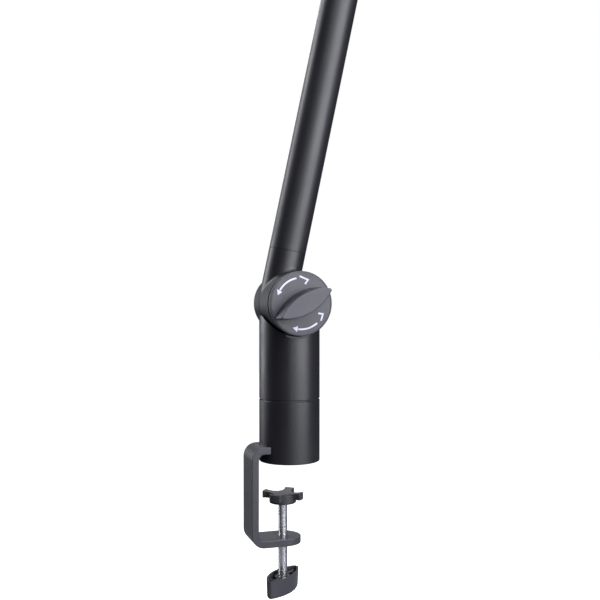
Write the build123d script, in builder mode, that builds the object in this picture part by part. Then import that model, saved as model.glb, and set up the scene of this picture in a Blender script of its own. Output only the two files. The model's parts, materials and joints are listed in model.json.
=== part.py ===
"""Desk-clamp boom microphone stand: a C-clamp base, a swivelling column and two tubular arms.

Frame: +Z is up, +X is the way the arms lean and the side the desk enters the clamp from, and -Y is
the side of the three tightening knobs. The origin is the centre of the base's underside, where it
rests on the desk. Every length is in millimetres.
"""

import os
from math import atan2, cos, degrees, radians, sin

from build123d import *

# ---- Driving dimensions ---------------------------------------------------------------------

COLUMN_R = 26.0  # base housing, column and hinge drums
TUBE_R = 16.0  # both arm tubes
TUBE_WALL = 1.5
TUBE_BACK = 9.9  # each tube stands this far behind its hinges, so its back is level with their drums
HINGE_Z = 135.0  # base hinge above the desk
ARM_LENGTH = 400.0  # from hinge axis to hinge axis
LOWER_LEAN = 12.15  # degrees from vertical, towards +X
UPPER_LEAN = LOWER_LEAN + 70.0
HEAD_LEAN = 180.0  # the microphone stud hangs straight down

# Base and column
FOOT_PAD_R = 22.0
FOOT_PAD_THICK = 1.8
BASE_BOTTOM = 0.4
BASE_TOP = 53.0
SWIVEL_GAP = 0.8
COLUMN_BOTTOM = BASE_TOP + SWIVEL_GAP
BASE_WALL = 3.0
BOSS_R = 13.0
WEB_TOP = 22.0
SPINDLE_R = 8.0
SPINDLE_TOP = 103.0
BEARING_R = 17.0
BEARING_TOP = 104.5
RUNNING = 0.05  # radial clearance of a shaft that turns in its bush

# Clamp
BAR_THICK = 6.0
BAR_WIDTH = 31.0
BAR_HALF = BAR_WIDTH / 2
BEND_R = 11.0  # outside radius of the two bends
SPINE_X = -37.0  # outer face of the upright part
TOP_FLANGE_Z = 8.6  # underside of the upper flange
LOW_FLANGE_Z = -69.7  # underside of the lower flange
SLOT_PLAY = 0.1
SCREW_X = -6.0
SCREW_R = 4.0
PAD_TOP = -26.1
PAD_THICK = 6.0
PAD_REACH = 17.8  # from the screw's axis to a lobe's tip
PAD_WAIST = 9.0
PAD_DISH_R = 100.0  # the pad's top is dished, so only its lobes touch the desk
PAD_DISH = 1.7
PAD_TURN = -37.5  # degrees, how the pad happens to stand
PAD_HUB_R = 11.5
PAD_HUB_TOP = -28.5
PAD_HUB_BOTTOM = -35.7
HANDLE_TOP = -96.6
HANDLE_BOTTOM = -112.6
HANDLE_LENGTH = 48.0
HANDLE_WIDTH = 20.0
HANDLE_TURN = 45.0  # degrees
HANDLE_WALL = 1.8

# Hinges: a rear half-drum (ear) and a front half-drum (disc), with a through bolt and a knob
DRUM_R = COLUMN_R
SADDLE_R = DRUM_R + 0.5
COLUMN_SADDLE_R = DRUM_R + 1.8
EAR_FACE = 5.0
EAR_BACK = 23.0
TUBE_Y = EAR_FACE  # the tubes stand over the face where ear and disc meet
DISC_BACK = 4.0
DISC_FRONT = -23.6
HORN_DROP = 10.0  # the column's front rim stands this far below the hinge axis
BOLT_R = 4.0
BOLT_BORE = 4.1
BOLT_HEAD_R = 7.0
BOLT_HEAD_DEPTH = 5.0
ANCHOR_ARM = 14.0  # from the hinge axis to the balance cable's pin
ANCHOR_R = 2.5
BASE_ANCHOR_TURN = -90.0  # where that pin stands round the ear, in degrees from the ear's own Z to X
ELBOW_ANCHOR_TURN = -40.0
CABLE_R = 0.8
CABLE_Y = -1.0
SPRING_R = 10.0
HOOK_Z = 77.5  # the spring's lower hook, up the arm from the hinge
SLEEVE = 43.5  # from the hinge axis to the end of a fitting's outer sleeve
SPIGOT = 24.0  # how far a fitting reaches into its tube
SPIGOT_R = TUBE_R - TUBE_WALL
NECK_FILLET = 5.0

# Knobs
KNOB_R = 26.9
KNOB_BACK = -24.4
KNOB_THICK = 9.3
KNOB_RIM = 4.7  # how much of that is the full rim, in front of a narrower neck
KNOB_NECK_R = 21.0
KNOB_RELIEF_R = KNOB_R + 2.3  # the column is cut back this far round the knob
GROOVE_R = 26.0
FIN_HEIGHT = 16.3
FIN_FOOT = (26.6, 9.4)  # half the grip's length and half its width, at its foot
FIN_TOP = (25.0, 8.2)
BASE_FIN_TURN = 29.3
ELBOW_FIN_TURN = -35.0
HEAD_FIN_TURN = 50.0

# Microphone head
HEAD_R = 13.0
COLLAR_R = 13.6
TONGUE_HALF = 6.0
CHEEK_INNER = 6.4
CHEEK_OUTER = 12.4
SHOULDER = 24.0
TIP_SLEEVE = 60.0
CLEVIS_END = 27.0
STUD_R = 7.9
STUD_FLANGE = 3.0
STUD_LENGTH = 16.0
HEAD_BOLT_R = 3.0
HEAD_KNOB_R = 15.0
HEAD_KNOB_BACK = -13.2
HEAD_KNOB_THICK = 6.0


# ---- Frames and helpers ---------------------------------------------------------------------


def hinge_frame(origin, lean):
    """A plane whose Z runs along an arm that leans by that many degrees, and whose Y is the hinge axis."""
    turn = radians(lean)
    return Plane(origin=origin, x_dir=(cos(turn), 0, -sin(turn)), z_dir=(sin(turn), 0, cos(turn)))


def along(frame, distance):
    """The point that far up the frame's Z axis."""
    return tuple(frame.origin + frame.z_dir * distance)


def facing_front(frame, y, turn=0.0):
    """A sketch plane across the hinge axis at that Y, looking along -Y, with its X turned up by degrees."""
    placed = frame.location * Location((0, y, 0)) * Plane.XZ.location * Rotation(0, 0, turn)
    return Plane(placed)


BASE_HINGE = hinge_frame((0, 0, HINGE_Z), 0)
LOWER = hinge_frame((0, 0, HINGE_Z), LOWER_LEAN)
ELBOW = hinge_frame(along(LOWER, ARM_LENGTH), LOWER_LEAN)
UPPER = hinge_frame(along(LOWER, ARM_LENGTH), UPPER_LEAN)


def tube_frame(hinge):
    """The frame of the tube that belongs to a hinge: parallel to the arm, and set back from it."""
    shift = hinge.y_dir * TUBE_Y - hinge.x_dir * TUBE_BACK
    return Plane(origin=hinge.origin + shift, x_dir=hinge.x_dir, z_dir=hinge.z_dir)


LOWER_TUBE = tube_frame(LOWER)
UPPER_TUBE = tube_frame(UPPER)
TIP = hinge_frame(along(UPPER_TUBE, ARM_LENGTH), UPPER_LEAN)
HEAD = hinge_frame(along(UPPER_TUBE, ARM_LENGTH), HEAD_LEAN)

UPWARD = (Align.CENTER, Align.CENTER, Align.MIN)
ACROSS = (-90, 0, 0)  # turns a cylinder's axis from Z to Y


def save(piece, name):
    """Labels one finished piece and writes its STEP file."""
    piece.part.label = name
    export_step(piece.part, f"parts/{name}.step")


def anchor_spot(turn):
    """Where a balance cable's pin stands in its ear's frame, as X and Z."""
    return ANCHOR_ARM * sin(radians(turn)), ANCHOR_ARM * cos(radians(turn))


def rod_y(radius, y_from, y_to, x=0.0, z=0.0, mode=Mode.ADD):
    """A cylinder along the hinge axis between two Y values."""
    with Locations((x, min(y_from, y_to), z)):
        Cylinder(radius, abs(y_to - y_from), rotation=ACROSS, align=UPWARD, mode=mode)


def rod_z(radius, z_from, z_to, x=0.0, y=0.0, mode=Mode.ADD):
    """A cylinder along Z between two heights."""
    with Locations((x, y, min(z_from, z_to))):
        Cylinder(radius, abs(z_to - z_from), align=UPWARD, mode=mode)


def leaf(half_length, sagitta):
    """A pointed oval made of two arcs, lying along X."""
    with BuildLine() as outline:
        ThreePointArc((-half_length, 0), (0, sagitta), (half_length, 0))
        ThreePointArc((half_length, 0), (0, -sagitta), (-half_length, 0))
    make_face(outline.edges())


# ---- Base -----------------------------------------------------------------------------------


def base_housing():
    """Round casting that stands on the desk, holds the clamp bar in a slot and carries the spindle."""
    with BuildPart() as housing:
        rod_z(COLUMN_R, BASE_BOTTOM, BASE_TOP)
        chamfer(housing.edges().group_by(Axis.Z)[0] + housing.edges().group_by(Axis.Z)[-1], 0.5)
        with BuildSketch(Plane.XY.offset(BASE_TOP)):
            Circle(COLUMN_R - BASE_WALL)
            Circle(BOSS_R, mode=Mode.SUBTRACT)
        extrude(amount=WEB_TOP - BASE_TOP, mode=Mode.SUBTRACT)
        rod_z(FOOT_PAD_R + 0.2, BASE_BOTTOM, FOOT_PAD_THICK, mode=Mode.SUBTRACT)
        with BuildSketch(Plane.XY.offset(TOP_FLANGE_Z - SLOT_PLAY)):
            Circle(BAR_HALF + SLOT_PLAY)
            with Locations((-COLUMN_R, 0)):
                Rectangle(2 * COLUMN_R, BAR_WIDTH + 2 * SLOT_PLAY)
        extrude(amount=BAR_THICK + 2 * SLOT_PLAY, mode=Mode.SUBTRACT)
        rod_z(SPINDLE_R, TOP_FLANGE_Z + BAR_THICK, BASE_TOP, mode=Mode.SUBTRACT)
        rod_z(6.2, FOOT_PAD_THICK, 7.0, mode=Mode.SUBTRACT)
        rod_z(3.2, 7.0, TOP_FLANGE_Z, mode=Mode.SUBTRACT)
        with Locations((0, 10.5, FOOT_PAD_THICK), (0, -10.5, FOOT_PAD_THICK)):
            Cylinder(2.0, 20.0, align=UPWARD, mode=Mode.SUBTRACT)
            Cylinder(3.8, 3.4, align=UPWARD, mode=Mode.SUBTRACT)
    save(housing, "base_housing")


def base_foot_pad():
    """Rubber disc let into the underside, which also hides the screws."""
    with BuildPart() as pad:
        rod_z(FOOT_PAD_R, 0, FOOT_PAD_THICK)
        chamfer(pad.edges().group_by(Axis.Z)[0], 0.3)
    save(pad, "base_foot_pad")


def clamp_bracket():
    """C-shaped bar of flat steel, with a round end on the lower flange and a threaded hole in it."""
    top = TOP_FLANGE_Z + BAR_THICK
    inner_bend = BEND_R - BAR_THICK
    with BuildPart() as bracket:
        with BuildSketch(Plane.XZ.offset(-BAR_HALF)):
            with BuildLine():
                outer = FilletPolyline(
                    (BAR_HALF, top), (SPINE_X, top), (SPINE_X, LOW_FLANGE_Z),
                    (SCREW_X + BAR_HALF, LOW_FLANGE_Z), radius=BEND_R,
                )
                inner = FilletPolyline(
                    (BAR_HALF, TOP_FLANGE_Z), (SPINE_X + BAR_THICK, TOP_FLANGE_Z),
                    (SPINE_X + BAR_THICK, LOW_FLANGE_Z + BAR_THICK),
                    (SCREW_X + BAR_HALF, LOW_FLANGE_Z + BAR_THICK), radius=inner_bend,
                )
                Line(outer @ 0, inner @ 0)
                Line(outer @ 1, inner @ 1)
            make_face()
        extrude(amount=BAR_WIDTH)
        # The outline seen from above rounds both flange ends.
        with BuildSketch(Plane.XY.offset(TOP_FLANGE_Z)):
            Circle(BAR_HALF)
            with Locations((SPINE_X, 0)):
                Rectangle(-SPINE_X, BAR_WIDTH, align=(Align.MIN, Align.CENTER))
        upper_end = extrude(amount=BAR_THICK, mode=Mode.PRIVATE)
        with BuildSketch(Plane.XY.offset(LOW_FLANGE_Z)):
            with Locations((SCREW_X, 0)):
                Circle(BAR_HALF)
            with Locations((SPINE_X, 0)):
                Rectangle(SCREW_X - SPINE_X, BAR_WIDTH, align=(Align.MIN, Align.CENTER))
        lower_end = extrude(amount=BAR_THICK + 2 * BEND_R, mode=Mode.PRIVATE)
        with Locations((SPINE_X, 0, (TOP_FLANGE_Z + LOW_FLANGE_Z) / 2)):
            middle = Box(
                BEND_R * 2, BAR_WIDTH, top - LOW_FLANGE_Z, align=(Align.MIN, Align.CENTER, Align.CENTER),
                mode=Mode.PRIVATE,
            )
        add(upper_end + lower_end + middle, mode=Mode.INTERSECT)
        long_edges = bracket.edges().filter_by(lambda e: abs(abs(e.center().Y) - BAR_HALF) < 0.01)
        fillet(long_edges, 0.6)
        rod_z(SCREW_R + RUNNING, LOW_FLANGE_Z, LOW_FLANGE_Z + BAR_THICK, x=SCREW_X, mode=Mode.SUBTRACT)
        rod_z(3.2, TOP_FLANGE_Z, top, mode=Mode.SUBTRACT)
        for side in (-1, 1):
            rod_z(2.2, TOP_FLANGE_Z, top, y=side * 10.5, mode=Mode.SUBTRACT)
    save(bracket, "clamp_bracket")


def bracket_screws():
    """Two countersunk screws that hold the clamp bar up against the housing's web."""
    with BuildPart() as screws:
        for side in (-1, 1):
            rod_z(2.0, FOOT_PAD_THICK + 0.4, WEB_TOP - 1.0, y=side * 10.5)
            with Locations((0, side * 10.5, FOOT_PAD_THICK + 0.4)):
                Cone(3.7, 2.0, 2.6, align=UPWARD)
                Cylinder(1.2, 1.6, align=UPWARD, mode=Mode.SUBTRACT)
    save(screws, "bracket_screws")


def spindle():
    """Steel axle that stands in the base housing and carries the column."""
    foot = TOP_FLANGE_Z + BAR_THICK
    with BuildPart() as axle:
        rod_z(SPINDLE_R, foot, SPINDLE_TOP)
        chamfer(axle.edges().group_by(Axis.Z)[-1], 1.0)
        rod_z(3.0, foot, foot + 19.0, mode=Mode.SUBTRACT)
    save(axle, "spindle")


def spindle_bolt():
    """Socket-head bolt that pulls the spindle down on the clamp bar."""
    with BuildPart() as bolt:
        rod_z(5.6, FOOT_PAD_THICK + 0.2, 7.0)
        rod_z(3.0, 7.0, TOP_FLANGE_Z + BAR_THICK + 17.0)
        with BuildSketch(Plane.XY.offset(FOOT_PAD_THICK + 0.2)):
            RegularPolygon(2.9, 6)
        extrude(amount=3.0, mode=Mode.SUBTRACT)
    save(bolt, "spindle_bolt")


def swivel_washer():
    """Slippery disc between base and column. Its edge is set back, which leaves the dark seam."""
    with BuildPart() as washer:
        rod_z(COLUMN_R - 1.4, BASE_TOP, COLUMN_BOTTOM)
        rod_z(SPINDLE_R + 0.1, BASE_TOP, COLUMN_BOTTOM, mode=Mode.SUBTRACT)
    save(washer, "swivel_washer")


def spindle_nut():
    """Lock nut and washer on top of the spindle, which keep the column down."""
    with BuildPart() as washer:
        rod_z(13.0, 95.3, 96.5)
        rod_z(SPINDLE_R + 0.1, 95.3, 96.5, mode=Mode.SUBTRACT)
    save(washer, "spindle_washer")
    with BuildPart() as nut:
        with BuildSketch(Plane.XY.offset(96.5)):
            RegularPolygon(12.5, 6)
            Circle(SPINDLE_R, mode=Mode.SUBTRACT)
        extrude(amount=5.0)
    save(nut, "spindle_nut")


# ---- Clamp screw ----------------------------------------------------------------------------


def clamp_pad():
    """Four-lobed pad that presses up under the desk, on a round hub that the screw turns in."""
    corner = radians(16.0)
    with BuildPart() as pad:
        with BuildSketch(Plane.XY.offset(PAD_TOP - PAD_THICK)) as star:
            with BuildLine():
                for lobe in range(4):
                    ahead = radians(PAD_TURN + 90.0 * lobe)
                    half = radians(45.0)
                    quarter = radians(90.0)
                    ends = [
                        (SCREW_X + PAD_REACH * cos(a), PAD_REACH * sin(a))
                        for a in (ahead - corner, ahead, ahead + corner, ahead + quarter - corner)
                    ]
                    valley = (SCREW_X + PAD_WAIST * cos(ahead + half), PAD_WAIST * sin(ahead + half))
                    ThreePointArc(ends[0], ends[1], ends[2])
                    ThreePointArc(ends[2], valley, ends[3])
            make_face()
            fillet(star.vertices(), 1.2)
        extrude(amount=PAD_THICK)
        with Locations((SCREW_X, 0, PAD_TOP - PAD_DISH + PAD_DISH_R)):
            Sphere(PAD_DISH_R, mode=Mode.SUBTRACT)
        fillet(pad.faces().sort_by(Axis.Z)[-1].edges(), 0.5)
        rod_z(PAD_HUB_R, PAD_HUB_BOTTOM, PAD_HUB_TOP, x=SCREW_X)
        fillet(pad.faces().sort_by(Axis.Z)[0].edges(), 0.8)
        rod_z(SCREW_R + RUNNING, PAD_HUB_BOTTOM, PAD_TOP - 2.6, x=SCREW_X, mode=Mode.SUBTRACT)
        rod_z(6.2, PAD_HUB_BOTTOM + 4.0, PAD_HUB_BOTTOM + 5.2, x=SCREW_X, mode=Mode.SUBTRACT)
    save(pad, "clamp_pad")


def clamp_rod():
    """Threaded rod, plain here at its outside diameter, with a groove near the top for the ring."""
    with BuildPart() as rod:
        rod_z(SCREW_R, HANDLE_BOTTOM + 3.0, PAD_TOP - 3.0, x=SCREW_X)
        chamfer(rod.edges().group_by(Axis.Z)[-1], 0.8)
        with BuildSketch(Plane.XY.offset(PAD_HUB_BOTTOM + 4.0)):
            with Locations((SCREW_X, 0)):
                Circle(SCREW_R + 1.0)
                Circle(SCREW_R - 0.8, mode=Mode.SUBTRACT)
        extrude(amount=1.2, mode=Mode.SUBTRACT)
    save(rod, "clamp_rod")


def pad_ring():
    """Open spring ring in the rod's groove, which keeps the pad on while the rod turns."""
    with BuildPart() as ring:
        with BuildSketch(Plane.XY.offset(PAD_HUB_BOTTOM + 4.1)):
            with Locations((SCREW_X, 0)):
                Circle(6.0)
                Circle(SCREW_R - 0.8, mode=Mode.SUBTRACT)
            with Locations((SCREW_X + 5.0, 0)):
                Rectangle(5.0, 3.0, mode=Mode.SUBTRACT)
        extrude(amount=1.0)
    save(ring, "pad_ring")


def clamp_handle():
    """Hollow pointed-oval handle, open at the top, with a boss for the rod and stiffening ribs."""
    height = HANDLE_TOP - HANDLE_BOTTOM
    top = Plane(origin=(SCREW_X, 0, HANDLE_TOP), x_dir=(cos(radians(HANDLE_TURN)), sin(radians(HANDLE_TURN)), 0))
    half, sag = HANDLE_LENGTH / 2 + 2.6, HANDLE_WIDTH / 2
    with BuildPart() as handle:
        with BuildSketch(top) as outline:
            leaf(half, sag)
            fillet(outline.vertices(), 3.6)
        extrude(amount=-height, taper=2.0)
        fillet(handle.edges().group_by(Axis.Z)[0], 3.4)
        with BuildSketch(top) as hollow:
            leaf(half, sag)
            fillet(hollow.vertices(), 3.6)
            offset(amount=-HANDLE_WALL, mode=Mode.REPLACE)
        extrude(amount=4.0 - height, taper=2.0, mode=Mode.SUBTRACT)
        with BuildSketch(top.offset(3.6 - height)):
            Circle(7.0)
            for x in (-13.0, 13.0):
                with Locations((x, 0)):
                    Rectangle(1.6, HANDLE_WIDTH - 5.5)
            Rectangle(HANDLE_LENGTH - 8.0, 1.6)
        extrude(amount=height - 3.6 - 2.2)
        with BuildSketch(top.offset(3.0 - height)):
            Circle(SCREW_R)
        extrude(amount=height, mode=Mode.SUBTRACT)
    save(handle, "clamp_handle")


# ---- Column ---------------------------------------------------------------------------------


def ear_bores(turn, height=0.0):
    """Cuts an ear's bolt bore, the recess for the bolt's head, and the hole for the cable's pin."""
    pin_x, pin_z = anchor_spot(turn)
    rod_y(BOLT_BORE, EAR_FACE, EAR_BACK, z=height, mode=Mode.SUBTRACT)
    rod_y(BOLT_HEAD_R + 0.1, EAR_BACK - BOLT_HEAD_DEPTH, EAR_BACK, z=height, mode=Mode.SUBTRACT)
    rod_y(ANCHOR_R, EAR_FACE, EAR_FACE + 8.0, x=pin_x, z=height + pin_z, mode=Mode.SUBTRACT)


def round_ear_rim(piece):
    """Rounds the rim of an ear's back face."""
    rim = piece.edges().filter_by(GeomType.CIRCLE).filter_by(
        lambda e: abs(e.center().Y - EAR_BACK) < 0.1 and e.radius > 20.0
    )
    fillet(rim, 1.2)


def column_housing():
    """Upright casting: a round post with a rear ear on top and a saddle in front for the arm's disc."""
    with BuildPart() as column:
        rod_z(COLUMN_R, COLUMN_BOTTOM, HINGE_Z - HORN_DROP)
        chamfer(column.edges().group_by(Axis.Z)[0], 0.5)
        rod_y(DRUM_R, EAR_FACE, EAR_BACK, z=HINGE_Z)
        with Locations((0, EAR_BACK, HINGE_Z - DRUM_R - 6.0)):
            Box(60, 20, 60, align=(Align.CENTER, Align.MIN, Align.MIN), mode=Mode.SUBTRACT)
        rod_y(COLUMN_SADDLE_R, -COLUMN_R - 1.0, EAR_FACE, z=HINGE_Z, mode=Mode.SUBTRACT)
        rod_y(KNOB_RELIEF_R, -COLUMN_R - 1.0, KNOB_BACK + 0.4, z=HINGE_Z, mode=Mode.SUBTRACT)
        ear_bores(BASE_ANCHOR_TURN, HINGE_Z)
        rod_z(BEARING_R, COLUMN_BOTTOM, BEARING_TOP, mode=Mode.SUBTRACT)
        round_ear_rim(column)
    save(column, "column_housing")


def column_bushes():
    """Two plain bushes pressed into the column, in which the spindle turns."""
    for name, z_from, z_to in (("bush_lower", 54.6, 66.0), ("bush_upper", 84.0, 95.0)):
        with BuildPart() as bush:
            rod_z(BEARING_R, z_from, z_to)
            chamfer(bush.edges(), 0.6)
            rod_z(SPINDLE_R + RUNNING, z_from, z_to, mode=Mode.SUBTRACT)
        save(bush, name)


# ---- Hinge hardware, the same at the base and the elbow --------------------------------------


def hinge_hardware(ear, arm, name, turn):
    """Bolt, rear cap, washers and the balance cable's pin of one hinge."""
    pin_x, pin_z = anchor_spot(turn)
    with BuildPart(ear) as bolt:
        rod_y(BOLT_R, -34.0, EAR_BACK - BOLT_HEAD_DEPTH + 0.1)
        rod_y(BOLT_HEAD_R, EAR_BACK - BOLT_HEAD_DEPTH + 0.1, EAR_BACK - 0.8)
    save(bolt, f"{name}_hinge_bolt")
    with BuildPart(ear) as cap:
        rod_y(12.0, EAR_BACK, EAR_BACK + 2.6)
        fillet(cap.faces().sort_by(Axis.Y)[-1].edges(), 1.8)
        rod_y(BOLT_HEAD_R, EAR_BACK - 0.7, EAR_BACK)
    save(cap, f"{name}_hinge_cap")
    with BuildPart(ear) as pin:
        rod_y(ANCHOR_R, CABLE_Y - 2.0, EAR_FACE + 8.0, x=pin_x, z=pin_z)
    save(pin, f"{name}_anchor_pin")
    with BuildPart(arm) as friction:
        rod_y(25.0, DISC_BACK, EAR_FACE)
        rod_y(20.0, DISC_BACK, EAR_FACE, mode=Mode.SUBTRACT)
    save(friction, f"{name}_friction_ring")
    with BuildPart(arm) as washer:
        rod_y(13.0, KNOB_BACK, DISC_FRONT)
        rod_y(BOLT_BORE, KNOB_BACK, DISC_FRONT, mode=Mode.SUBTRACT)
    save(washer, f"{name}_knob_washer")


def knob(frame, turn, name, scale=1.0, back=KNOB_BACK, bore=BOLT_R, radius=KNOB_R, thick=KNOB_THICK):
    """Round tightening knob with a leaf-shaped grip across its face, and its brass insert."""
    face = back - thick
    rim_back = face + KNOB_RIM * scale
    with BuildPart(frame) as body:
        rod_y(radius, rim_back, face)
        fillet(body.edges().filter_by(GeomType.CIRCLE), 0.8 * scale)
        rod_y(KNOB_NECK_R * scale, back, rim_back)
        with BuildSketch(facing_front(frame, face)):
            Circle(GROOVE_R * scale)
            Circle((GROOVE_R - 0.6) * scale, mode=Mode.SUBTRACT)
        extrude(amount=-0.5 * scale, mode=Mode.SUBTRACT)
        with BuildSketch(facing_front(frame, face + 0.6 * scale, turn)) as foot:
            leaf(FIN_FOOT[0] * scale, FIN_FOOT[1] * scale)
            fillet(foot.vertices(), 1.5 * scale)
        with BuildSketch(facing_front(frame, face - FIN_HEIGHT * scale, turn)) as top:
            leaf(FIN_TOP[0] * scale, FIN_TOP[1] * scale)
            fillet(top.vertices(), 1.5 * scale)
        loft()
        fillet(body.faces().sort_by(Axis.Y)[0].edges(), 0.8 * scale)
        rod_y(7.0 * scale, back - 12.0 * scale, back, mode=Mode.SUBTRACT)
    save(body, f"{name}_knob")
    with BuildPart(frame) as insert:
        rod_y(7.0 * scale, back - 12.0 * scale, back)
        rod_y(bore + RUNNING, back - 11.0 * scale, back, mode=Mode.SUBTRACT)
    save(insert, f"{name}_knob_insert")


# ---- Arms -----------------------------------------------------------------------------------


def arm_foot(frame, name):
    """Lower end fitting: the hinge's front disc, the sleeve in line with the tube, and its spigot."""
    with BuildPart(frame) as foot:
        rod_z(TUBE_R, 0, SLEEVE, x=-TUBE_BACK, y=TUBE_Y)
        rod_y(DRUM_R, DISC_FRONT, TUBE_Y + TUBE_R + 5.0)
        # The only edges that are neither circles nor seams are where the sleeve runs into the drum.
        neck = foot.edges().filter_by(lambda e: e.geom_type not in (GeomType.CIRCLE, GeomType.LINE))
        fillet(neck, NECK_FILLET)
        # Behind the lap face the blend goes. Only the plain sleeve stays there, clear of the ear.
        with Locations((0, DISC_BACK, 0)):
            Box(
                4 * DRUM_R, 2 * DRUM_R, 4 * DRUM_R, align=(Align.CENTER, Align.MIN, Align.CENTER),
                mode=Mode.SUBTRACT,
            )
        rod_z(TUBE_R, 0, SLEEVE, x=-TUBE_BACK, y=TUBE_Y)
        rod_y(SADDLE_R, DISC_BACK, TUBE_Y + TUBE_R + 10.0, mode=Mode.SUBTRACT)
        rod_z(SPIGOT_R, SLEEVE, SLEEVE + SPIGOT, x=-TUBE_BACK, y=TUBE_Y)
        # Recess round the hub for the cable's pin, and the cable's channel up to the tube.
        with BuildSketch(facing_front(frame, DISC_BACK)):
            Circle(19.5)
            Circle(9.0, mode=Mode.SUBTRACT)
        extrude(amount=9.0, mode=Mode.SUBTRACT)
        with Locations((-11.5, 2.5, 8.0)):
            Box(14.0, 11.0, SLEEVE + SPIGOT, align=UPWARD, mode=Mode.SUBTRACT)
        rod_y(BOLT_BORE, DISC_FRONT, DISC_BACK, mode=Mode.SUBTRACT)
        rod_y(1.7, TUBE_Y + 8.0, TUBE_Y + 16.0, x=-TUBE_BACK, z=SLEEVE + 10.0, mode=Mode.SUBTRACT)
    save(foot, f"{name}_arm_foot")


def arm_tube(frame, name, end):
    """Aluminium tube between two fittings, with a hole at each end for the screw that holds it."""
    with BuildPart(frame) as tube:
        rod_z(TUBE_R, SLEEVE, end)
        chamfer(tube.edges(), 0.35)
        rod_z(SPIGOT_R, SLEEVE, end, mode=Mode.SUBTRACT)
        for z in (SLEEVE + 10.0, end - 10.0):
            rod_y(2.0, 10.0, 20.0, z=z, mode=Mode.SUBTRACT)
    save(tube, f"{name}_tube")
    with BuildPart(frame) as screws:
        for z in (SLEEVE + 10.0, end - 10.0):
            rod_y(1.65, 9.0, 15.0, z=z)
            rod_y(1.95, 14.5, 15.8, z=z)
    save(screws, f"{name}_tube_screws")


def elbow_head():
    """Upper end fitting of the lower arm: spigot, sleeve and the elbow's rear ear."""
    with BuildPart(ELBOW) as head:
        rod_z(TUBE_R, -SLEEVE, 0, x=-TUBE_BACK, y=TUBE_Y)
        rod_y(DRUM_R, EAR_FACE, EAR_BACK)
        rod_y(SADDLE_R, -20.0, EAR_FACE, mode=Mode.SUBTRACT)
        rod_z(SPIGOT_R, -SLEEVE - SPIGOT, -SLEEVE, x=-TUBE_BACK, y=TUBE_Y)
        rod_z(10.0, -SLEEVE - SPIGOT, -SLEEVE - 6.0, x=-TUBE_BACK, y=TUBE_Y, mode=Mode.SUBTRACT)
        ear_bores(ELBOW_ANCHOR_TURN)
        rod_y(2.0, TUBE_Y - 14.0, TUBE_Y + 14.0, x=-TUBE_BACK, z=-SLEEVE - 14.0, mode=Mode.SUBTRACT)
        rod_y(1.7, TUBE_Y + 8.0, TUBE_Y + 16.0, x=-TUBE_BACK, z=-SLEEVE - 10.0, mode=Mode.SUBTRACT)
        round_ear_rim(head)
    save(head, "lower_arm_head")


def balance_spring(frame, name, top_pin):
    """Tension spring in the tube as a plain sleeve with two hooks, its cross pin and its cable."""
    low, high = 92.0, top_pin - 44.0
    with BuildPart(frame) as spring:
        rod_z(SPRING_R, low, high)
        rod_z(SPRING_R - 1.0, low + 2.0, high - 2.0, mode=Mode.SUBTRACT)
        rod_z(1.3, high - 0.5, top_pin - 3.0)
        rod_z(1.3, HOOK_Z + 3.0, low + 0.5)
        with Locations((0, 0, top_pin)):
            Torus(3.5, 1.2, rotation=(90, 0, 0))
        with Locations((0, 0, HOOK_Z)):
            Torus(3.5, 1.2, rotation=(0, 90, 0))
    save(spring, f"{name}_spring")
    with BuildPart(frame) as pin:
        rod_y(2.0, -13.5, 13.5, z=top_pin)
    save(pin, f"{name}_spring_pin")


def balance_cable(ear, arm, name, turn):
    """Steel cable, with an eye at each end, from the pin beside the hinge up to the spring's hook."""
    pin_x, pin_z = anchor_spot(turn)
    pin = arm.to_local_coords(ear.origin + ear.x_dir * pin_x + ear.z_dir * pin_z)
    low = Vector(pin.X, CABLE_Y, pin.Z)
    high = Vector(-TUBE_BACK, TUBE_Y, HOOK_Z - 4.05)
    run = high - low
    with BuildPart(arm) as cable:
        with Locations(Plane(origin=low, z_dir=run).location):
            with Locations((0, 0, ANCHOR_R + 1.1)):
                Cylinder(CABLE_R, run.length - ANCHOR_R - 3.7, align=UPWARD)
        with Locations(low):
            Torus(ANCHOR_R + 1.1, 1.05, rotation=(90, 0, 0))
        with Locations(high):
            Torus(2.6, 0.85, rotation=(90, 0, 0))
    save(cable, f"{name}_balance_cable")


# ---- Microphone head ------------------------------------------------------------------------


def arm_tip():
    """Upper end fitting of the upper arm, which narrows to a flat tongue for the microphone's clevis."""
    with BuildPart(TIP) as tip:
        rod_z(TUBE_R, -TIP_SLEEVE, -SHOULDER)
        nose = tip.faces().filter_by(lambda f: TIP.to_local_coords(f.center()).Z > -SHOULDER - 0.1)
        fillet(nose.edges(), 6.0)
        with Locations((0, 0, -SHOULDER - 8.0)):
            Box(2 * HEAD_R, 2 * TONGUE_HALF, SHOULDER + 8.0, align=UPWARD)
        rod_y(HEAD_R, -TONGUE_HALF, TONGUE_HALF)
        rod_z(SPIGOT_R, -TIP_SLEEVE - SPIGOT, -TIP_SLEEVE)
        rod_z(10.0, -TIP_SLEEVE - SPIGOT, -TIP_SLEEVE - 6.0, mode=Mode.SUBTRACT)
        rod_y(HEAD_BOLT_R + 0.1, -TONGUE_HALF, TONGUE_HALF, mode=Mode.SUBTRACT)
        rod_y(2.0, -14.0, 14.0, z=-TIP_SLEEVE - 14.0, mode=Mode.SUBTRACT)
        rod_y(1.7, 8.0, 16.0, z=-TIP_SLEEVE - 10.0, mode=Mode.SUBTRACT)
    save(tip, "upper_arm_tip")


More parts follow.
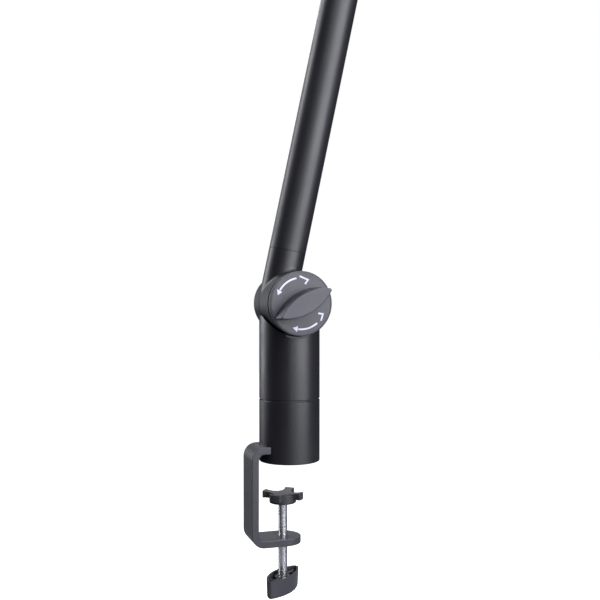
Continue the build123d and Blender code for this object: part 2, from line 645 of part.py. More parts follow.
def mic_clevis():
    """Two-cheeked yoke that tilts on the tongue and carries the threaded stud."""
    with BuildPart(HEAD) as clevis:
        with BuildSketch(facing_front(HEAD, -CHEEK_OUTER)):
            Circle(HEAD_R)
            with Locations((0, HEAD_R / 2)):
                Rectangle(2 * HEAD_R, HEAD_R)
        extrude(amount=-2 * CHEEK_OUTER)
        fillet(clevis.faces().filter_by(Axis.Y).edges(), 1.2)
        rod_z(COLLAR_R, HEAD_R - 1.0, CLEVIS_END)
        chamfer(clevis.faces().sort_by(Axis.Z)[0].edges(), 1.0)
        with Locations((0, 0, -HEAD_R - 1.0)):
            Box(3 * HEAD_R, 2 * CHEEK_INNER, 2 * HEAD_R + 5.0, align=UPWARD, mode=Mode.SUBTRACT)
        rod_y(HEAD_BOLT_R + 0.1, -COLLAR_R, COLLAR_R, mode=Mode.SUBTRACT)
        rod_y(5.6, CHEEK_OUTER - 3.0, CHEEK_OUTER, mode=Mode.SUBTRACT)
        rod_z(4.0, 18.0, CLEVIS_END, mode=Mode.SUBTRACT)
    save(clevis, "mic_clevis")


def mic_stud():
    """Threaded stud for a microphone clip, plain here at its outside diameter."""
    with BuildPart(HEAD) as stud:
        rod_z(4.0, 18.0, CLEVIS_END)
        rod_z(11.5, CLEVIS_END, CLEVIS_END + STUD_FLANGE)
        chamfer(stud.edges().filter_by(GeomType.CIRCLE).filter_by(lambda e: e.radius > 10.0), 0.6)
        rod_z(STUD_R, CLEVIS_END + STUD_FLANGE, CLEVIS_END + STUD_FLANGE + STUD_LENGTH)
    save(stud, "mic_stud")


def head_hardware():
    """Bolt and washers of the microphone's tilting joint."""
    with BuildPart(HEAD) as bolt:
        rod_y(HEAD_BOLT_R, -19.0, CHEEK_OUTER - 2.9)
        rod_y(5.5, CHEEK_OUTER - 2.9, CHEEK_OUTER + 0.6)
        fillet(bolt.faces().sort_by(Axis.Y)[-1].edges(), 0.5)
    save(bolt, "head_bolt")
    with BuildPart(HEAD) as washers:
        for y_from, y_to in (
            (TONGUE_HALF, CHEEK_INNER), (-TONGUE_HALF, -CHEEK_INNER), (-CHEEK_OUTER, HEAD_KNOB_BACK),
        ):
            rod_y(8.0, y_from, y_to)
            rod_y(HEAD_BOLT_R + 0.1, y_from, y_to, mode=Mode.SUBTRACT)
    save(washers, "head_washers")


# ---- Build ----------------------------------------------------------------------------------

os.makedirs("parts", exist_ok=True)

base_housing()
base_foot_pad()
clamp_bracket()
bracket_screws()
spindle()
spindle_bolt()
swivel_washer()
spindle_nut()

clamp_pad()
clamp_rod()
pad_ring()
clamp_handle()

column_housing()
column_bushes()
hinge_hardware(BASE_HINGE, LOWER, "base", BASE_ANCHOR_TURN)
knob(BASE_HINGE, BASE_FIN_TURN, "base")

arm_foot(LOWER, "lower")
arm_tube(LOWER_TUBE, "lower", ARM_LENGTH - SLEEVE)
elbow_head()
balance_spring(LOWER_TUBE, "lower", ARM_LENGTH - SLEEVE - 14.0)
balance_cable(BASE_HINGE, LOWER, "lower", BASE_ANCHOR_TURN)
hinge_hardware(ELBOW, UPPER, "elbow", ELBOW_ANCHOR_TURN)
knob(ELBOW, ELBOW_FIN_TURN, "elbow")

arm_foot(UPPER, "upper")
arm_tube(UPPER_TUBE, "upper", ARM_LENGTH - TIP_SLEEVE)
arm_tip()
balance_spring(UPPER_TUBE, "upper", ARM_LENGTH - TIP_SLEEVE - 14.0)
balance_cable(ELBOW, UPPER, "upper", ELBOW_ANCHOR_TURN)
mic_clevis()
mic_stud()
head_hardware()
knob(
    HEAD, HEAD_FIN_TURN, "head", scale=HEAD_KNOB_R / KNOB_R, back=HEAD_KNOB_BACK,
    bore=HEAD_BOLT_R, radius=HEAD_KNOB_R, thick=HEAD_KNOB_THICK,
)
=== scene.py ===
# %% [markdown]
# # A desk-clamp boom stand for a microphone
#
# This is a lesson in finishing a CAD model in Blender. The CAD parts come in as a fixed frame, in
# metres, with every body and joint already settled. Nothing here moves them. What Blender adds is
# what CAD left plain: real screw threads, coiled springs, socket screws, the arrows printed on the
# knobs, and a procedural material for every surface.

# %% Load the frame
import json
from math import asin, atan2, cos, pi, radians, sin, sqrt

import bpy
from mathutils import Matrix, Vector


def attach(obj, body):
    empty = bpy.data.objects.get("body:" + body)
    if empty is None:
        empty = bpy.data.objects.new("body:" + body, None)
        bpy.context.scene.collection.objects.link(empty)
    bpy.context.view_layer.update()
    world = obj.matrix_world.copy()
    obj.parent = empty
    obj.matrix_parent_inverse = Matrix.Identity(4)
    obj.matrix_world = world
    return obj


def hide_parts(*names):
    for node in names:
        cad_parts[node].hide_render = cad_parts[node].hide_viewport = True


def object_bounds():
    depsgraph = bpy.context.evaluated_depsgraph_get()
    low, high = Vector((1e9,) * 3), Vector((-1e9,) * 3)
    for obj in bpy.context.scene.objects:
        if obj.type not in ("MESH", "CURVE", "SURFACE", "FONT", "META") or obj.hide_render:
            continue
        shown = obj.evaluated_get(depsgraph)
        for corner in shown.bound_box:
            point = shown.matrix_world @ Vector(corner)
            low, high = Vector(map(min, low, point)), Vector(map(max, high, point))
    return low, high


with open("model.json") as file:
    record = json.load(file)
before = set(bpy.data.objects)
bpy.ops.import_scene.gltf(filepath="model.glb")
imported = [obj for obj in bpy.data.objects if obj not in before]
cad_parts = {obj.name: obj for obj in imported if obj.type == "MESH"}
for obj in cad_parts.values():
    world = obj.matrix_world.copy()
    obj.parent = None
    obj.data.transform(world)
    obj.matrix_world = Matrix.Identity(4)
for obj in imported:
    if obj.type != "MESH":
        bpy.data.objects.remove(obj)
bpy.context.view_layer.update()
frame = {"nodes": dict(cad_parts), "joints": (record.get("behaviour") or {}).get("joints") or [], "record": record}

MM = 0.001
nodes = frame["nodes"]
joints = {joint["name"]: joint for joint in frame["joints"]}

# %% [markdown]
# ## Where things are
#
# The joints say where each hinge is, so no place is typed in twice. An arm's lean comes from the line
# between its two hinges. Each tube stands 9.9 mm behind its hinge and 5 mm across, and the head's
# hinge is on the upper tube's own axis, so that line is a little off the tube and is corrected.

# %% Hinges and leans
BASE_HINGE = Vector(joints["lower_arm_tilt"]["pos_m"])
ELBOW = Vector(joints["elbow_tilt"]["pos_m"])
TIP = Vector(joints["head_tilt"]["pos_m"])
SCREW_AXIS = Vector(joints["screw_turn"]["pos_m"])
TUBE_BACK = 9.9 * MM
TUBE_ACROSS = 5.0 * MM
lower_line = ELBOW - BASE_HINGE
upper_line = TIP - ELBOW
LOWER_LEAN = atan2(lower_line.x, lower_line.z)
upper_reach = sqrt(upper_line.x ** 2 + upper_line.z ** 2)
UPPER_LEAN = atan2(upper_line.x, upper_line.z) + asin(TUBE_BACK / upper_reach)
print("lower arm leans", round(LOWER_LEAN * 180 / pi, 1), "upper arm", round(UPPER_LEAN * 180 / pi, 1))


# %% [markdown]
# ## Effects that several finishes share
#
# A powder coat, a moulding and a casting all have a fine texture that catches the light, and none
# of them is quite even. Rather than copy the same nodes into each material, each effect is built
# once as a node group, with named inputs, and placed in every material with its own values. The
# groups hand back only masks and heights, and the shader itself stays in the material.

# %% Building a node group
def new_group(name, inputs, outputs):
    """Starts a shader node group with float inputs and outputs, and returns it with its two ends."""
    group = bpy.data.node_groups.new(name, "ShaderNodeTree")
    for label, value in inputs.items():
        socket = group.interface.new_socket(label, in_out="INPUT", socket_type="NodeSocketFloat")
        socket.default_value = value
    for label in outputs:
        group.interface.new_socket(label, in_out="OUTPUT", socket_type="NodeSocketFloat")
    return group, group.nodes.new("NodeGroupInput"), group.nodes.new("NodeGroupOutput")


def object_coordinates(tree):
    """The coordinates that a pattern is laid out in: the piece's own, in metres."""
    return tree.nodes.new("ShaderNodeTexCoord").outputs["Object"]


def spread(tree, value, low, high, to_low=0.0, to_high=1.0):
    """Stretches the part of a value between low and high over a new range."""
    node = tree.nodes.new("ShaderNodeMapRange")
    tree.links.new(value, node.inputs["Value"])
    node.inputs["From Min"].default_value = low
    node.inputs["From Max"].default_value = high
    node.inputs["To Min"].default_value = to_low
    node.inputs["To Max"].default_value = to_high
    return node.outputs["Result"]


def noise(tree, vector, scale, detail=2.0, roughness=0.5):
    """A noise texture. The scale is a number, or a socket that gives one."""
    node = tree.nodes.new("ShaderNodeTexNoise")
    tree.links.new(vector, node.inputs["Vector"])
    if isinstance(scale, (int, float)):
        node.inputs["Scale"].default_value = scale
    else:
        tree.links.new(scale, node.inputs["Scale"])
    node.inputs["Detail"].default_value = detail
    node.inputs["Roughness"].default_value = roughness
    return node.outputs["Fac"]


# %% [markdown]
# ### Fine texture, uneven patches and drawn streaks
#
# The first group is the pebbled skin of a powder coat or of a spark-eroded mould: two layers of
# noise, one a third the size of the other. The second gives broad soft patches, which keep a large
# flat face from looking computed. The third gives long thin streaks along the piece's Z, as brushing
# or drawing leaves on a tube; the group's Lean input turns them along a leaning arm. The
# fourth gives a few short scuffs.

# %% The four groups
def build_pebble():
    group, start, end = new_group("pebble", {"Scale": 2500.0}, ["Height"])
    vector = object_coordinates(group)
    coarse = noise(group, vector, start.outputs["Scale"], detail=1.0)
    triple = group.nodes.new("ShaderNodeMath")
    triple.operation = "MULTIPLY"
    triple.inputs[1].default_value = 2.7
    group.links.new(start.outputs["Scale"], triple.inputs[0])
    fine = noise(group, vector, triple.outputs[0], detail=1.0)
    both = group.nodes.new("ShaderNodeMath")
    both.operation = "ADD"
    group.links.new(coarse, both.inputs[0])
    group.links.new(fine, both.inputs[1])
    group.links.new(spread(group, both.outputs[0], 0.6, 1.4), end.inputs["Height"])
    return group


def build_patches():
    group, start, end = new_group("patches", {"Scale": 30.0}, ["Mask"])
    value = noise(group, object_coordinates(group), start.outputs["Scale"], detail=3.0)
    group.links.new(spread(group, value, 0.35, 0.65), end.inputs["Mask"])
    return group


def build_streaks():
    group, start, end = new_group("streaks", {"Scale": 1400.0, "Lean": 0.0}, ["Mask"])
    turn = group.nodes.new("ShaderNodeVectorRotate")
    turn.rotation_type = "Y_AXIS"
    group.links.new(object_coordinates(group), turn.inputs["Vector"])
    group.links.new(start.outputs["Lean"], turn.inputs["Angle"])
    stretch = group.nodes.new("ShaderNodeVectorMath")
    stretch.operation = "MULTIPLY"
    stretch.inputs[1].default_value = (1.0, 1.0, 0.012)
    group.links.new(turn.outputs["Vector"], stretch.inputs[0])
    value = noise(group, stretch.outputs["Vector"], start.outputs["Scale"], detail=3.0, roughness=0.6)
    group.links.new(spread(group, value, 0.3, 0.7), end.inputs["Mask"])
    return group


def build_scuffs():
    group, start, end = new_group("scuffs", {"Scale": 60.0, "Amount": 0.3}, ["Mask"])
    vector = object_coordinates(group)
    stretch = group.nodes.new("ShaderNodeVectorMath")
    stretch.operation = "MULTIPLY"
    stretch.inputs[1].default_value = (1.0, 2.6, 7.0)
    group.links.new(vector, stretch.inputs[0])
    value = noise(group, stretch.outputs["Vector"], start.outputs["Scale"], detail=6.0, roughness=0.7)
    limited = group.nodes.new("ShaderNodeMath")
    limited.operation = "MULTIPLY"
    group.links.new(spread(group, value, 0.60, 0.74), limited.inputs[0])
    group.links.new(start.outputs["Amount"], limited.inputs[1])
    group.links.new(limited.outputs[0], end.inputs["Mask"])
    return group


GROUPS = {
    "pebble": build_pebble(), "patches": build_patches(),
    "streaks": build_streaks(), "scuffs": build_scuffs(),
}
print("shared effects:", ", ".join(GROUPS))


# %% [markdown]
# ## Finishes
#
# Each finish is one Principled BSDF. Its even values are set on the shader. What varies over the
# surface comes from the groups: patches shift the colour and the roughness a little, scuffs make
# rubbed spots smoother and lighter, and pebble or streaks drive a Bump node. A finish is a call with
# a maker's numbers, so two finishes can be compared line by line.

# %% Making a finish
def place_group(tree, name, **values):
    """Adds one shared effect to a material, with its own values."""
    node = tree.nodes.new("ShaderNodeGroup")
    node.node_tree = GROUPS[name]
    for label, value in values.items():
        node.inputs[label].default_value = value
    return node


def mix_colours(tree, mask, first, second):
    """A colour that goes from the first to the second as the mask rises."""
    node = tree.nodes.new("ShaderNodeMix")
    node.data_type = "RGBA"
    tree.links.new(mask, node.inputs["Factor"])
    for socket, colour in ((node.inputs["A"], first), (node.inputs["B"], second)):
        if isinstance(colour, tuple):
            socket.default_value = (*colour, 1.0)
        else:
            tree.links.new(colour, socket)
    return node.outputs["Result"]


def add_values(tree, first, second):
    """The sum of two values."""
    node = tree.nodes.new("ShaderNodeMath")
    node.operation = "ADD"
    tree.links.new(first, node.inputs[0])
    tree.links.new(second, node.inputs[1])
    return node.outputs[0]


def finish(
    name, colour, lighter, rough, metallic=0.0, texture="pebble", texture_scale=2500.0, depth=0.02,
    patch_scale=30.0, scuff_scale=60.0, scuff_amount=0.25, lean=0.0, sheen=0.0,
):
    """One material. rough is a pair: the roughness on the smoothest and on the roughest patches."""
    material = bpy.data.materials.new(name)
    material.use_nodes = True
    tree = material.node_tree
    shader = tree.nodes["Principled BSDF"]
    shader.inputs["Metallic"].default_value = metallic
    shader.inputs["Sheen Weight"].default_value = sheen
    patches = place_group(tree, "patches", Scale=patch_scale).outputs["Mask"]
    scuffs = place_group(tree, "scuffs", Scale=scuff_scale, Amount=scuff_amount).outputs["Mask"]
    shades = mix_colours(tree, patches, colour, tuple(0.82 * c for c in colour))
    tree.links.new(mix_colours(tree, scuffs, shades, lighter), shader.inputs["Base Color"])
    if texture == "streaks":
        relief = place_group(tree, "streaks", Scale=texture_scale, Lean=lean).outputs["Mask"]
        evenness = spread(tree, relief, 0.0, 1.0, -0.07, 0.07)
    else:
        relief = place_group(tree, "pebble", Scale=texture_scale).outputs["Height"]
        evenness = spread(tree, scuffs, 0.0, 1.0, 0.0, -0.1)
    roughness = add_values(tree, spread(tree, patches, 0.0, 1.0, *rough), evenness)
    tree.links.new(roughness, shader.inputs["Roughness"])
    bump = tree.nodes.new("ShaderNodeBump")
    bump.inputs["Strength"].default_value = 1.0
    bump.inputs["Distance"].default_value = depth * MM
    tree.links.new(relief, bump.inputs["Height"])
    tree.links.new(bump.outputs["Normal"], shader.inputs["Normal"])
    return material


# %% [markdown]
# The castings and the bar have the same satin powder coat, the bar's a little lighter. The tubes are
# brushed along their length and black. Knobs are a grained moulding, the handle is a
# smoother one, and the pads are rubber. The screw is bright zinc plate, which is nearly white with a
# faint warm and cool mottle.

# %% The finishes
FINISHES = {
    "cast_black": finish(
        "cast_black", (0.006, 0.006, 0.009), (0.018, 0.018, 0.022), (0.36, 0.44), texture_scale=2600,
        depth=0.012, scuff_amount=0.15,
    ),
    "bar_black": finish(
        "bar_black", (0.030, 0.030, 0.037), (0.034, 0.034, 0.040), (0.38, 0.47), texture_scale=2200,
        depth=0.015, scuff_amount=0.2,
    ),
    "knob_plastic": finish(
        "knob_plastic", (0.031, 0.032, 0.041), (0.052, 0.053, 0.062), (0.40, 0.48), texture_scale=3200,
        depth=0.014, scuff_amount=0.15,
    ),
    "handle_plastic": finish(
        "handle_plastic", (0.032, 0.032, 0.038), (0.045, 0.045, 0.050), (0.30, 0.40), texture_scale=1800,
        depth=0.006, scuff_amount=0.15,
    ),
    "pad_rubber": finish(
        "pad_rubber", (0.012, 0.012, 0.014), (0.040, 0.040, 0.042), (0.48, 0.62), texture_scale=2400,
        depth=0.018, scuff_amount=0.3, sheen=0.1,
    ),
    "zinc_steel": finish(
        "zinc_steel", (0.90, 0.90, 0.92), (0.70, 0.69, 0.68), (0.22, 0.30), metallic=1.0,
        texture_scale=5000, depth=0.003, patch_scale=120.0, scuff_scale=200.0, scuff_amount=0.4,
    ),
    "black_screws": finish(
        "black_screws", (0.045, 0.045, 0.048), (0.16, 0.16, 0.16), (0.28, 0.38), metallic=0.7,
        texture_scale=4000, depth=0.004, scuff_scale=300.0,
    ),
    "spring_steel": finish(
        "spring_steel", (0.36, 0.36, 0.37), (0.20, 0.19, 0.18), (0.24, 0.34), metallic=1.0,
        texture_scale=4000, depth=0.004, patch_scale=90.0,
    ),
    "bearing_plastic": finish(
        "bearing_plastic", (0.60, 0.58, 0.53), (0.42, 0.40, 0.36), (0.34, 0.44), texture_scale=2400,
        depth=0.006, scuff_amount=0.2,
    ),
    "brass": finish(
        "brass", (0.70, 0.50, 0.22), (0.45, 0.32, 0.15), (0.20, 0.30), metallic=1.0, texture_scale=3500,
        depth=0.004, patch_scale=100.0,
    ),
    "stud_steel": finish(
        "stud_steel", (0.74, 0.72, 0.68), (0.55, 0.52, 0.48), (0.12, 0.20), metallic=1.0,
        texture_scale=4500, depth=0.002, patch_scale=100.0, scuff_amount=0.3,
    ),
    "printed_white": finish(
        "printed_white", (0.52, 0.54, 0.66), (0.38, 0.39, 0.47), (0.42, 0.52), texture_scale=3000,
        depth=0.004, patch_scale=300.0, scuff_scale=400.0, scuff_amount=0.25,
    ),
}


def tube_finish(name, lean):
    """The tubes' coat: brushed along an arm that leans by that many radians."""
    return finish(
        name, (0.006, 0.006, 0.009), (0.018, 0.018, 0.022), (0.40, 0.48), texture="streaks",
        texture_scale=1500, depth=0.004, patch_scale=18.0, scuff_amount=0.1, lean=lean,
    )


FINISHES["lower_tube_black"] = tube_finish("lower_tube_black", -LOWER_LEAN)
FINISHES["upper_tube_black"] = tube_finish("upper_tube_black", -UPPER_LEAN)
print("finishes:", ", ".join(sorted(FINISHES)))


# %% [markdown]
# The record already says which slot each CAD node has, so one loop gives every node its finish. The
# two tubes share a slot and differ only in which way their brushing runs.

# %% Give each CAD node its finish
def put_on(piece, name):
    """Gives a piece one finish all over."""
    piece.data.materials.clear()
    piece.data.materials.append(FINISHES[name])


for part in frame["record"]["subparts"]:
    slot = part["material_slot"]
    if slot == "tube_black":
        slot = part["node"] + "_black"
    put_on(nodes[part["node"]], slot)

# %% [markdown]
# ## Modelling by hand
#
# Every piece below starts as a primitive and is shaped with ordinary edit-mode steps. A profile is
# drawn by merging a small plane to one vertex and extruding that vertex from point to point. Measures
# are in millimetres until the last moment. A piece ends with its place in its mesh and its origin at
# zero, so that a joint can carry it.

# %% Tools for modelling
def only(piece):
    """Makes a piece the only one selected, and the active one."""
    bpy.ops.object.select_all(action="DESELECT")
    piece.select_set(True)
    bpy.context.view_layer.objects.active = piece


def settle(piece, location=(0, 0, 0), lean=0.0):
    """Leans a piece about Y, moves it, and puts both into its mesh."""
    only(piece)
    piece.rotation_euler = (0, lean, 0)
    piece.location = location
    bpy.ops.object.transform_apply(location=True, rotation=True, scale=True)


def close_up(piece):
    """Joins vertices that meet and turns every face outwards."""
    only(piece)
    bpy.ops.object.mode_set(mode="EDIT")
    bpy.ops.mesh.select_all(action="SELECT")
    bpy.ops.mesh.remove_doubles(threshold=0.002 * MM)
    bpy.ops.mesh.normals_make_consistent(inside=False)
    bpy.ops.object.mode_set(mode="OBJECT")


def draw(name, points):
    """A chain of edges through points in millimetres, extruded from one vertex."""
    bpy.ops.object.select_all(action="DESELECT")
    bpy.ops.mesh.primitive_plane_add(size=MM)
    piece = bpy.context.active_object
    piece.name = name
    bpy.ops.object.mode_set(mode="EDIT")
    bpy.ops.mesh.merge(type="CENTER")
    bpy.ops.transform.translate(value=Vector(points[0]) * MM)
    for here, there in zip(points, points[1:]):
        step = (Vector(there) - Vector(here)) * MM
        bpy.ops.mesh.extrude_region_move(TRANSFORM_OT_translate={"value": step})
    bpy.ops.object.mode_set(mode="OBJECT")
    return piece


def shape_with(piece, kind, **settings):
    """Adds one modifier and applies it."""
    only(piece)
    modifier = piece.modifiers.new(kind.lower(), kind)
    for label, value in settings.items():
        setattr(modifier, label, value)
    bpy.ops.object.modifier_apply(modifier=modifier.name)


def turned(name, profile, steps=64):
    """A turned solid from a profile of (radius, height) points that starts and ends on the axis."""
    piece = draw(name, [(radius, 0, height) for radius, height in profile])
    shape_with(
        piece, "SCREW", axis="Z", angle=2 * pi, screw_offset=0.0, iterations=1, steps=steps,
        render_steps=steps, use_merge_vertices=True, merge_threshold=0.001 * MM,
    )
    close_up(piece)
    return piece


def joined(pieces, name):
    """Several meshes made into one."""
    only(pieces[0])
    for piece in pieces[1:]:
        piece.select_set(True)
    if len(pieces) > 1:
        bpy.ops.object.join()
    pieces[0].name = name
    return pieces[0]


def hand_over(piece, body, look, node=None, smooth=35):
    """Smooths a finished piece, gives it its finish, and says what carries it and what it replaces."""
    only(piece)
    bpy.ops.object.shade_smooth_by_angle(angle=radians(smooth))
    put_on(piece, look)
    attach(piece, body)
    if node:
        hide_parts(node)
    print(piece.name, "faces:", len(piece.data.polygons), "carried by", body)


# %% [markdown]
# ### Cutting a thread
#
# One turn of a thread's outline is swept round and up by a Screw modifier, and repeated. A bisect
# squares off both ends and fills them. Then the thread is intersected with a turned blank that has
# the chamfers of the real rod, which gives the lead-in that a nut needs.

# %% A threaded rod
def threaded(name, major, minor, pitch, low, high, lead):
    """A thread from low to high with a chamfer of lead at both ends."""
    # Root flat, rising flank, crest flat and falling flank, each at its share of one pitch.
    turn = [(minor, 0.0), (minor, 0.25), (major, 0.5625), (major, 0.6875), (minor, 1.0)]
    spare = 0.3  # left beyond both ends for the blank to cut off
    rod = draw(name, [(radius, 0, low + (part - 1.5) * pitch) for radius, part in turn])
    shape_with(
        rod, "SCREW", axis="Z", angle=2 * pi, screw_offset=pitch * MM,
        iterations=int((high - low) / pitch) + 4, steps=32, render_steps=32,
        use_merge_vertices=True, merge_threshold=0.001 * MM,
    )
    only(rod)
    bpy.ops.object.mode_set(mode="EDIT")
    for height, side in ((low - spare, "clear_inner"), (high + spare, "clear_outer")):
        bpy.ops.mesh.select_all(action="SELECT")
        bpy.ops.mesh.bisect(
            plane_co=(0, 0, height * MM), plane_no=(0, 0, 1), use_fill=True, **{side: True},
        )
    bpy.ops.object.mode_set(mode="OBJECT")
    close_up(rod)
    wide = major + 0.02
    blank = turned("blank", [
        (0, low), (wide - lead, low), (wide, low + lead),
        (wide, high - lead), (wide - lead, high), (0, high),
    ])
    shape_with(rod, "BOOLEAN", operation="INTERSECT", object=blank, solver="EXACT")
    bpy.data.objects.remove(blank)
    close_up(rod)
    return rod


# %% [markdown]
# ### The clamp's screw
#
# An M8 rod with its 1.25 mm pitch. Its top end is plain, with a groove for the ring that holds the
# pad on, so that end is turned separately and joined.

# %% Clamp screw
M8_MAJOR, M8_MINOR, M8_PITCH = 4.0, 3.39, 1.25  # radii and pitch
screw_thread = threaded("clamp_screw", M8_MAJOR, M8_MINOR, M8_PITCH, low=-109.6, high=-36.4, lead=0.6)
journal = turned("journal", [
    (0, -37.0), (3.35, -37.0), (3.35, -35.9), (3.9, -35.5), (4.0, -35.4), (4.0, -31.7), (3.2, -31.7),
    (3.2, -30.5), (4.0, -30.5), (4.0, -29.9), (3.2, -29.1), (0, -29.1),
])
clamp_screw = joined([screw_thread, journal], "clamp_screw")
settle(clamp_screw, (SCREW_AXIS.x, SCREW_AXIS.y, 0))
hand_over(clamp_screw, "screw", "zinc_steel", "clamp_rod")

# %% [markdown]
# ### The microphone's stud
#
# The usual 5/8 inch thread, 27 to the inch, on a flange with a milled edge. The flange is a short
# cylinder whose side faces are inset and pushed out one by one, which leaves a tooth on each.

# %% Microphone stud
STUD_MAJOR, STUD_MINOR, STUD_PITCH = 7.9, 7.34, 0.941  # radii and pitch
HANGING = pi  # the head's lean: its own Z points straight down
stud_thread = threaded("mic_thread", STUD_MAJOR, STUD_MINOR, STUD_PITCH, low=29.2, high=46.0, lead=0.9)
stem = turned("stem", [(0, 18.0), (3.6, 18.0), (4.0, 18.4), (4.0, 27.2), (0, 27.2)])
bpy.ops.mesh.primitive_cylinder_add(
    vertices=72, radius=11.4 * MM, depth=3 * MM, location=(0, 0, 28.5 * MM),
)
flange = bpy.context.active_object
only(flange)
bpy.ops.object.transform_apply(location=True, rotation=True, scale=True)
shape_with(flange, "BEVEL", width=0.35 * MM, segments=2, limit_method="ANGLE", angle_limit=radians(50))
bpy.ops.object.mode_set(mode="EDIT")
bpy.ops.mesh.select_all(action="DESELECT")
bpy.ops.object.mode_set(mode="OBJECT")
for face in flange.data.polygons:
    face.select = abs(face.normal.z) < 0.1 and face.area > 0.8 * MM * MM
bpy.ops.object.mode_set(mode="EDIT")
bpy.ops.mesh.select_mode(type="FACE")
bpy.ops.mesh.inset(thickness=0.18 * MM, use_individual=True)
bpy.ops.mesh.extrude_faces_move(TRANSFORM_OT_shrink_fatten={"value": 0.3 * MM})
bpy.ops.mesh.select_mode(type="VERT")
bpy.ops.object.mode_set(mode="OBJECT")
stud = joined([stud_thread, stem, flange], "microphone_stud")
settle(stud, TIP, HANGING)
hand_over(stud, "mic_head", "stud_steel", "mic_stud")


# %% [markdown]
# ### The balance springs
#
# A spring is one wire: an eye that holds the cable, a coil, and an eye round the cross pin. The wire's
# path is written as points and given a round section, and then made into a mesh.

# %% Balance springs
def wound_spring(name, low, high, turns, lower_eye, upper_eye, eye=3.5, reach=9.1, wire=0.9):
    """A tension spring along Z, with its lower eye across X and its upper eye across Y."""
    path = []
    for step in range(22):
        angle = radians(45 + 15 * step)
        path.append((0, eye * sin(angle), lower_eye + eye * cos(angle)))
    steps = 20 * turns
    for step in range(steps + 1):
        angle = 2 * pi * step / 20
        out = reach * min(1.0, step / 20, (steps - step) / 20)
        path.append((out * cos(angle), out * sin(angle), low + (high - low) * step / steps))
    for step in range(22):
        angle = radians(15 * step)
        path.append((eye * sin(angle), 0, upper_eye - eye * cos(angle)))
    curve = bpy.data.curves.new(name, "CURVE")
    curve.dimensions = "3D"
    curve.bevel_depth = wire * MM
    curve.bevel_resolution = 2
    curve.use_fill_caps = True
    line = curve.splines.new("POLY")
    line.points.add(len(path) - 1)
    for point, place in zip(line.points, path):
        point.co = (*(Vector(place) * MM), 1.0)
    piece = bpy.data.objects.new(name, curve)
    bpy.context.scene.collection.objects.link(piece)
    only(piece)
    bpy.ops.object.convert(target="MESH")
    piece = bpy.context.active_object
    close_up(piece)
    return piece


def tube_place(hinge, lean):
    """Where a tube's own axis starts: beside its hinge, a little back and across."""
    return hinge + Vector((-TUBE_BACK * cos(lean), TUBE_ACROSS, TUBE_BACK * sin(lean)))


LOWER_EYE = 77.5  # heights along the tube
COIL_START = 92.0
COIL_END = 44.0  # below the pin that holds the upper eye
for arm, hinge, lean, top_pin, turns in (
    ("lower", BASE_HINGE, LOWER_LEAN, 342.5, 78), ("upper", ELBOW, UPPER_LEAN, 326.0, 72),
):
    spring = wound_spring(
        arm + "_coil", COIL_START, top_pin - COIL_END, turns, LOWER_EYE, top_pin,
    )
    settle(spring, tube_place(hinge, lean), lean)
    hand_over(spring, arm + "_arm", "spring_steel", arm + "_spring")


# %% [markdown]
# ### Set screws
#
# Each tube is held at both ends by a small screw sunk in its back, with a hexagonal socket.

# %% Set screws
def socket_screw(height):
    """A set screw across the tube at that height, its socket outwards."""
    across = (pi / 2, 0, 0)
    bpy.ops.mesh.primitive_cylinder_add(
        vertices=40, radius=1.95 * MM, depth=6.8 * MM,
        location=(0, 12.4 * MM, height * MM), rotation=across,
    )
    screw = bpy.context.active_object
    shape_with(screw, "BEVEL", width=0.3 * MM, segments=2, limit_method="ANGLE", angle_limit=radians(50))
    bpy.ops.mesh.primitive_cylinder_add(
        vertices=6, radius=1.15 * MM, depth=3.2 * MM,
        location=(0, 15.6 * MM, height * MM), rotation=across,
    )
    key = bpy.context.active_object
    shape_with(screw, "BOOLEAN", operation="DIFFERENCE", object=key, solver="EXACT")
    bpy.data.objects.remove(key)
    only(screw)
    bpy.ops.object.transform_apply(location=True, rotation=True, scale=True)
    return screw


FOOT_SCREW = 53.5  # height along the tube, the same on both arms
for arm, hinge, lean, heights in (
    ("lower", BASE_HINGE, LOWER_LEAN, (FOOT_SCREW, 346.5)),
    ("upper", ELBOW, UPPER_LEAN, (FOOT_SCREW, 330.0)),
):
    screws = joined([socket_screw(height) for height in heights], arm + "_socket_screws")
    settle(screws, tube_place(hinge, lean), lean)
    hand_over(screws, arm + "_arm", "black_screws", arm + "_tube_screws")


# %% [markdown]
# ### Turning marks on the knobs
#
# Each knob is printed on both sides of its grip: a curved line with a solid head one way, and an open
# chevron the other way. The ink is a film a few hundredths of a millimetre proud of the face. Every
# mark is an outline round a stroke, filled and extruded. Angles are counted from the grip.

# %% Marks
def stroke(points, width):
    """The outline of a line of that width through points."""
    left, right = [], []
    for index, point in enumerate(points):
        before = point - points[max(index - 1, 0)]
        after = points[min(index + 1, len(points) - 1)] - point
        one, two = before.normalized(), after.normalized()
        along = (one + two).normalized()
        lean_in = max(along.dot(two if two.length else one), 0.3)
        side = Vector((-along.y, along.x)) * (width / 2 / lean_in)
        left.append(point + side)
        right.append(point - side)
    return left + right[::-1]


def printed(name, outline, face_y, ink=0.06, sunk=0.1):
    """A printed mark in millimetres on a face across Y."""
    piece = draw(name, [(spot.x, face_y + sunk, spot.y) for spot in outline])
    bpy.ops.object.mode_set(mode="EDIT")
    bpy.ops.mesh.select_all(action="SELECT")
    bpy.ops.mesh.edge_face_add()
    bpy.ops.mesh.extrude_region_move(TRANSFORM_OT_translate={"value": (0, -(ink + sunk) * MM, 0)})
    bpy.ops.object.mode_set(mode="OBJECT")
    close_up(piece)
    return piece


